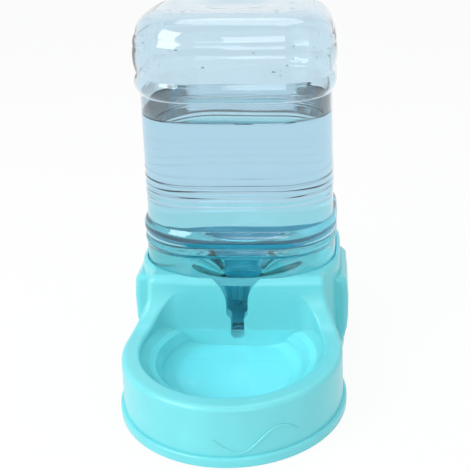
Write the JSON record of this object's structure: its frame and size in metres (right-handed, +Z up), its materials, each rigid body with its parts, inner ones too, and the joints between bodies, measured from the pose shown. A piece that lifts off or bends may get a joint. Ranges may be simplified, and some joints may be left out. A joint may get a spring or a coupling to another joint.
{
  "type": "gravity pet feeder",
  "caption": "Gravity fed pet drinker: a clear ribbed bottle stands upside down in the hopper of a moulded bowl with a notched outlet and side grips.",
  "frame": {"origin": "centre of the bounding box at floor level, under the rubber feet", "axes": "+Z up, +X to the right as seen from the bowl's side, -Y towards the bowl, +Y towards the bottle"},
  "size_m": [0.1908, 0.2928, 0.3036],
  "materials": {
    "tray_plastic": "satin",
    "clear_plastic": "clear",
    "cap_plastic": "matte",
    "valve_plastic": "matte",
    "soft_rubber": "matte",
    "spring_steel": "satin"
  },
  "bodies": {
    "base": {"base_tray": "tray_plastic", "rubber_feet": "soft_rubber"},
    "reservoir": {"reservoir_bottle": "clear_plastic"},
    "cap": {"valve_cap": "cap_plastic", "cap_gasket": "soft_rubber"},
    "valve": {"valve_stem": "valve_plastic", "valve_seal": "soft_rubber", "stem_foot": "valve_plastic", "valve_spring": "spring_steel"}
  },
  "joints": [
    {"name": "reservoir_lift", "type": "slide", "parent": "base", "child": "reservoir", "axis": [0, 0, 1], "range_m": [0, 0.12]},
    {"name": "cap_unscrew", "type": "hinge", "parent": "reservoir", "child": "cap", "pos_m": [0, 0.06461, 0.05], "axis": [0, 0, -1], "range_deg": [0, 540]},
    {"name": "valve_slide", "type": "slide", "parent": "cap", "child": "valve", "axis": [0, 0, 1], "range_m": [-0.004, 0], "deforming": ["valve_spring"]}
  ],
  "couplings": [
    {"joint": "valve_slide", "follows": "reservoir_lift", "ratio": -0.0325}
  ]
}
